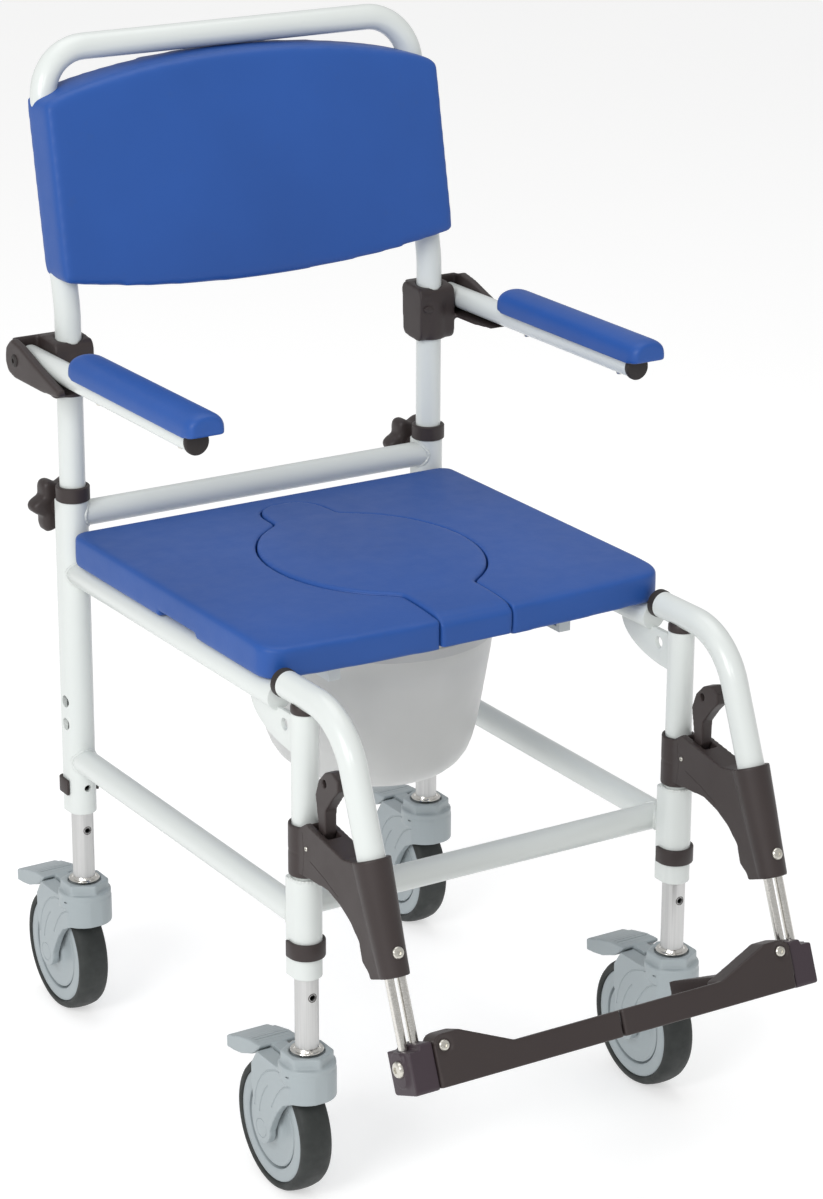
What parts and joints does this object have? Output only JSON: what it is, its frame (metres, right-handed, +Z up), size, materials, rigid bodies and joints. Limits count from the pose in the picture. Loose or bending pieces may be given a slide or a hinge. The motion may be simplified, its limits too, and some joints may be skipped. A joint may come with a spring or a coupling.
{
  "type": "commode chair",
  "caption": "Wheeled commode and shower chair with lidded seat, slide-out pan, flip-up arms, swing-away footrests, height-adjustable legs and locking casters.",
  "frame": {"origin": "on the floor, under the middle of the chair's overall box", "axes": "+Z up; the occupant faces -Y; +X is the occupant's left"},
  "size_m": [0.516, 0.7782, 1.0024],
  "materials": {
    "white_powder_coat": "gloss",
    "brown_black_plastic": "satin",
    "blue_foam_skin": "satin",
    "grey_caster_plastic": "satin",
    "tread_rubber": "matte",
    "brushed_aluminium": "satin",
    "stainless_rod": "polished",
    "pan_plastic": "satin"
  },
  "bodies": {
    "frame": {"rear_leg_left": "white_powder_coat", "rear_leg_right": "white_powder_coat", "front_leg_left": "white_powder_coat", "front_leg_right": "white_powder_coat", "seat_rail_left": "white_powder_coat", "seat_rail_right": "white_powder_coat", "lower_rail_left": "white_powder_coat", "lower_rail_right": "white_powder_coat", "upper_cross_tube": "white_powder_coat", "lower_cross_tube": "white_powder_coat", "collar_left": "brown_black_plastic", "collar_right": "brown_black_plastic", "pan_carrier": "pan_plastic"},
    "back": {"back_frame": "white_powder_coat", "backrest": "blue_foam_skin", "arm_bracket_left": "brown_black_plastic", "arm_bracket_right": "brown_black_plastic"},
    "seat": {"seat_pad": "blue_foam_skin"},
    "lid": {"seat_lid": "blue_foam_skin"},
    "pan": {"pan": "pan_plastic"},
    "arm_left": {"arm_tube_left": "white_powder_coat", "arm_pad_left": "blue_foam_skin", "arm_cap_left": "brown_black_plastic"},
    "back_knob_left": {"back_knob_left": "brown_black_plastic"},
    "hanger_left": {"hanger_tube_left": "white_powder_coat", "hanger_casting_left": "brown_black_plastic"},
    "release_lever_left": {"release_lever_left": "brown_black_plastic"},
    "footrest_left": {"footrest_stem_left": "stainless_rod", "footrest_block_left": "brown_black_plastic"},
    "footplate_left": {"footplate_left": "brown_black_plastic"},
    "arm_right": {"arm_tube_right": "white_powder_coat", "arm_pad_right": "blue_foam_skin", "arm_cap_right": "brown_black_plastic"},
    "back_knob_right": {"back_knob_right": "brown_black_plastic"},
    "hanger_right": {"hanger_tube_right": "white_powder_coat", "hanger_casting_right": "brown_black_plastic"},
    "release_lever_right": {"release_lever_right": "brown_black_plastic"},
    "footrest_right": {"footrest_stem_right": "stainless_rod", "footrest_block_right": "brown_black_plastic"},
    "footplate_right": {"footplate_right": "brown_black_plastic"},
    "leg_front_left": {"inner_leg_front_left": "brushed_aluminium"},
    "leg_pin_front_left": {"leg_pin_front_left": "brown_black_plastic"},
    "fork_front_left": {"caster_fork_front_left": "grey_caster_plastic"},
    "wheel_front_left": {"caster_wheel_front_left": "tread_rubber"},
    "pedal_front_left": {"brake_pedal_front_left": "grey_caster_plastic"},
    "leg_front_right": {"inner_leg_front_right": "brushed_aluminium"},
    "leg_pin_front_right": {"leg_pin_front_right": "brown_black_plastic"},
    "fork_front_right": {"caster_fork_front_right": "grey_caster_plastic"},
    "wheel_front_right": {"caster_wheel_front_right": "tread_rubber"},
    "pedal_front_right": {"brake_pedal_front_right": "grey_caster_plastic"},
    "leg_rear_left": {"inner_leg_rear_left": "brushed_aluminium"},
    "leg_pin_rear_left": {"leg_pin_rear_left": "brown_black_plastic"},
    "fork_rear_left": {"caster_fork_rear_left": "grey_caster_plastic"},
    "wheel_rear_left": {"caster_wheel_rear_left": "tread_rubber"},
    "pedal_rear_left": {"brake_pedal_rear_left": "grey_caster_plastic"},
    "leg_rear_right": {"inner_leg_rear_right": "brushed_aluminium"},
    "leg_pin_rear_right": {"leg_pin_rear_right": "brown_black_plastic"},
    "fork_rear_right": {"caster_fork_rear_right": "grey_caster_plastic"},
    "wheel_rear_right": {"caster_wheel_rear_right": "tread_rubber"},
    "pedal_rear_right": {"brake_pedal_rear_right": "grey_caster_plastic"}
  },
  "joints": [
    {"name": "back_lift", "type": "slide", "parent": "frame", "child": "back", "axis": [0, 0, 1], "range_m": [0, 0.1]},
    {"name": "seat_lift", "type": "slide", "parent": "frame", "child": "seat", "axis": [0, 0, 1], "range_m": [0, 0.12]},
    {"name": "lid_lift", "type": "slide", "parent": "seat", "child": "lid", "axis": [0, 0, 1], "range_m": [0, 0.1]},
    {"name": "pan_slide", "type": "slide", "parent": "frame", "child": "pan", "axis": [0, 1, 0], "range_m": [0, 0.33]},
    {"name": "arm_left_flip", "type": "hinge", "parent": "back", "child": "arm_left", "pos_m": [0.2376, 0.2821, 0.704], "axis": [-1, 0, 0], "range_deg": [0, 90]},
    {"name": "back_knob_left_turn", "type": "hinge", "parent": "frame", "child": "back_knob_left", "pos_m": [0.204, 0.3016, 0.545], "axis": [0, 1, 0], "range_deg": [0, 720]},
    {"name": "hanger_left_swing", "type": "hinge", "parent": "frame", "child": "hanger_left", "pos_m": [0.204, -0.1729, 0.485], "axis": [0, 0, 1], "range_deg": [0, 95]},
    {"name": "release_lever_left_press", "type": "hinge", "parent": "hanger_left", "child": "release_lever_left", "pos_m": [0.204, -0.1959, 0.3655], "axis": [1, 0, 0], "range_deg": [-12, 0], "stiffness_Nm_per_rad": 0.6, "springref_deg": 8.59},
    {"name": "footrest_left_height", "type": "slide", "parent": "hanger_left", "child": "footrest_left", "axis": [0, -0.3746, -0.9272], "range_m": [-0.02, 0.04]},
    {"name": "footplate_left_flip", "type": "hinge", "parent": "footrest_left", "child": "footplate_left", "pos_m": [0.1812, -0.37698, 0.24177], "axis": [0, 0.9272, -0.3746], "range_deg": [0, 90]},
    {"name": "arm_right_flip", "type": "hinge", "parent": "back", "child": "arm_right", "pos_m": [-0.2376, 0.2821, 0.704], "axis": [-1, 0, 0], "range_deg": [0, 90]},
    {"name": "back_knob_right_turn", "type": "hinge", "parent": "frame", "child": "back_knob_right", "pos_m": [-0.204, 0.3016, 0.545], "axis": [0, 1, 0], "range_deg": [0, 720]},
    {"name": "hanger_right_swing", "type": "hinge", "parent": "frame", "child": "hanger_right", "pos_m": [-0.204, -0.1729, 0.485], "axis": [0, 0, -1], "range_deg": [0, 95]},
    {"name": "release_lever_right_press", "type": "hinge", "parent": "hanger_right", "child": "release_lever_right", "pos_m": [-0.204, -0.1959, 0.3655], "axis": [1, 0, 0], "range_deg": [-12, 0], "stiffness_Nm_per_rad": 0.6, "springref_deg": 8.59},
    {"name": "footrest_right_height", "type": "slide", "parent": "hanger_right", "child": "footrest_right", "axis": [0, -0.3746, -0.9272], "range_m": [-0.02, 0.04]},
    {"name": "footplate_right_flip", "type": "hinge", "parent": "footrest_right", "child": "footplate_right", "pos_m": [-0.1812, -0.37698, 0.24177], "axis": [0, -0.9272, 0.3746], "range_deg": [0, 90]},
    {"name": "leg_front_left_height", "type": "slide", "parent": "frame", "child": "leg_front_left", "axis": [0, 0, 1], "range_m": [-0.047, 0.047]},
    {"name": "leg_pin_front_left_pull", "type": "slide", "parent": "frame", "child": "leg_pin_front_left", "axis": [0, -1, 0], "range_m": [0, 0.05]},
    {"name": "caster_front_left_swivel", "type": "hinge", "parent": "leg_front_left", "child": "fork_front_left", "pos_m": [0.204, -0.1729, 0.1573], "axis": [0, 0, 1], "continuous": true},
    {"name": "caster_front_left_roll", "type": "hinge", "parent": "fork_front_left", "child": "wheel_front_left", "pos_m": [0.204, -0.1309, 0.064], "axis": [1, 0, 0], "continuous": true},
    {"name": "brake_front_left_press", "type": "hinge", "parent": "fork_front_left", "child": "pedal_front_left", "pos_m": [0.204, -0.1309, 0.1365], "axis": [-1, 0, 0], "range_deg": [0, 7]},
    {"name": "leg_front_right_height", "type": "slide", "parent": "frame", "child": "leg_front_right", "axis": [0, 0, 1], "range_m": [-0.047, 0.047]},
    {"name": "leg_pin_front_right_pull", "type": "slide", "parent": "frame", "child": "leg_pin_front_right", "axis": [0, -1, 0], "range_m": [0, 0.05]},
    {"name": "caster_front_right_swivel", "type": "hinge", "parent": "leg_front_right", "child": "fork_front_right", "pos_m": [-0.204, -0.1729, 0.1573], "axis": [0, 0, 1], "continuous": true},
    {"name": "caster_front_right_roll", "type": "hinge", "parent": "fork_front_right", "child": "wheel_front_right", "pos_m": [-0.204, -0.1309, 0.064], "axis": [1, 0, 0], "continuous": true},
    {"name": "brake_front_right_press", "type": "hinge", "parent": "fork_front_right", "child": "pedal_front_right", "pos_m": [-0.204, -0.1309, 0.1365], "axis": [-1, 0, 0], "range_deg": [0, 7]},
    {"name": "leg_rear_left_height", "type": "slide", "parent": "frame", "child": "leg_rear_left", "axis": [0, 0, 1], "range_m": [-0.047, 0.047]},
    {"name": "leg_pin_rear_left_pull", "type": "slide", "parent": "frame", "child": "leg_pin_rear_left", "axis": [0, 1, 0], "range_m": [0, 0.05]},
    {"name": "caster_rear_left_swivel", "type": "hinge", "parent": "leg_rear_left", "child": "fork_rear_left", "pos_m": [0.204, 0.2751, 0.1573], "axis": [0, 0, 1], "continuous": true},
    {"name": "caster_rear_left_roll", "type": "hinge", "parent": "fork_rear_left", "child": "wheel_rear_left", "pos_m": [0.204, 0.3171, 0.064], "axis": [1, 0, 0], "continuous": true},
    {"name": "brake_rear_left_press", "type": "hinge", "parent": "fork_rear_left", "child": "pedal_rear_left", "pos_m": [0.204, 0.3171, 0.1365], "axis": [-1, 0, 0], "range_deg": [0, 7]},
    {"name": "leg_rear_right_height", "type": "slide", "parent": "frame", "child": "leg_rear_right", "axis": [0, 0, 1], "range_m": [-0.047, 0.047]},
    {"name": "leg_pin_rear_right_pull", "type": "slide", "parent": "frame", "child": "leg_pin_rear_right", "axis": [0, 1, 0], "range_m": [0, 0.05]},
    {"name": "caster_rear_right_swivel", "type": "hinge", "parent": "leg_rear_right", "child": "fork_rear_right", "pos_m": [-0.204, 0.2751, 0.1573], "axis": [0, 0, 1], "continuous": true},
    {"name": "caster_rear_right_roll", "type": "hinge", "parent": "fork_rear_right", "child": "wheel_rear_right", "pos_m": [-0.204, 0.3171, 0.064], "axis": [1, 0, 0], "continuous": true},
    {"name": "brake_rear_right_press", "type": "hinge", "parent": "fork_rear_right", "child": "pedal_rear_right", "pos_m": [-0.204, 0.3171, 0.1365], "axis": [-1, 0, 0], "range_deg": [0, 7]}
  ]
}
